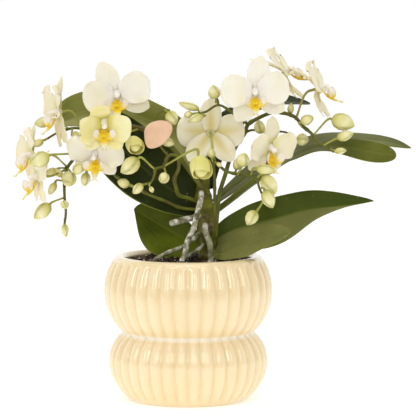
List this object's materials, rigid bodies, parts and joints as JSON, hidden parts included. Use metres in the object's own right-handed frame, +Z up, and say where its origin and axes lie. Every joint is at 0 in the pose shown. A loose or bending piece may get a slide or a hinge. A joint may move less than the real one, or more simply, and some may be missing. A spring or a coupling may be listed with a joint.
{
  "type": "potted orchid",
  "caption": "Small branching moth orchid with cream blooms and buds, arching leaves and aerial roots, in a ribbed glazed pot with a waist.",
  "frame": {"origin": "middle of the pot's flat underside, on the pot's axis", "axes": "+Z up along the pot's axis, +X to the viewer's right in the picture, +Y away from the picture's viewer"},
  "size_m": [0.3014, 0.1308, 0.2645],
  "materials": {
    "glaze": "glossy cream glaze on ceramic",
    "plastic": "thin dull brown plastic",
    "bark": "rough damp bark chips",
    "stem": "fleshy green stem, slightly glossy",
    "leaf": "leathery, waxy green leaf",
    "root": "dry silver-green root skin",
    "spike": "yellow-green flower stems and buds",
    "tepal": "soft cream petal",
    "lip": "waxy orange-yellow lip",
    "opening": "pale yellow-green petals, still folded",
    "tag": "matt peach card, bare"
  },
  "bodies": {
    "root": {"stem": "stem", "root_1": "root", "root_2": "root", "root_3": "root", "root_4": "root", "root_5": "root", "spike_1": "spike", "spike_2": "spike", "spike_3": "spike", "spike_4": "spike", "spike_5": "spike", "leaf_1": "leaf", "leaf_2": "leaf", "leaf_3": "leaf", "leaf_4": "leaf", "leaf_5": "leaf", "leaf_6": "leaf", "leaf_7": "leaf", "leaf_8": "leaf", "opening_bloom_1": "opening", "opening_bloom_2": "opening", "bloom_1": "tepal", "bloom_2": "tepal", "bloom_3": "tepal", "bloom_4": "tepal", "bloom_5": "tepal", "bloom_6": "tepal", "bloom_7": "tepal", "bloom_8": "tepal", "bloom_9": "tepal", "bloom_10": "tepal", "bloom_11": "tepal", "lip_1": "lip", "lip_2": "lip", "lip_3": "lip", "lip_4": "lip", "lip_5": "lip", "lip_6": "lip", "lip_7": "lip", "lip_8": "lip", "lip_9": "lip", "lip_10": "lip", "lip_11": "lip", "tag": "tag", "grow_pot": "plastic", "bark": "bark", "pot": "glaze"}
  },
  "joints": []
}
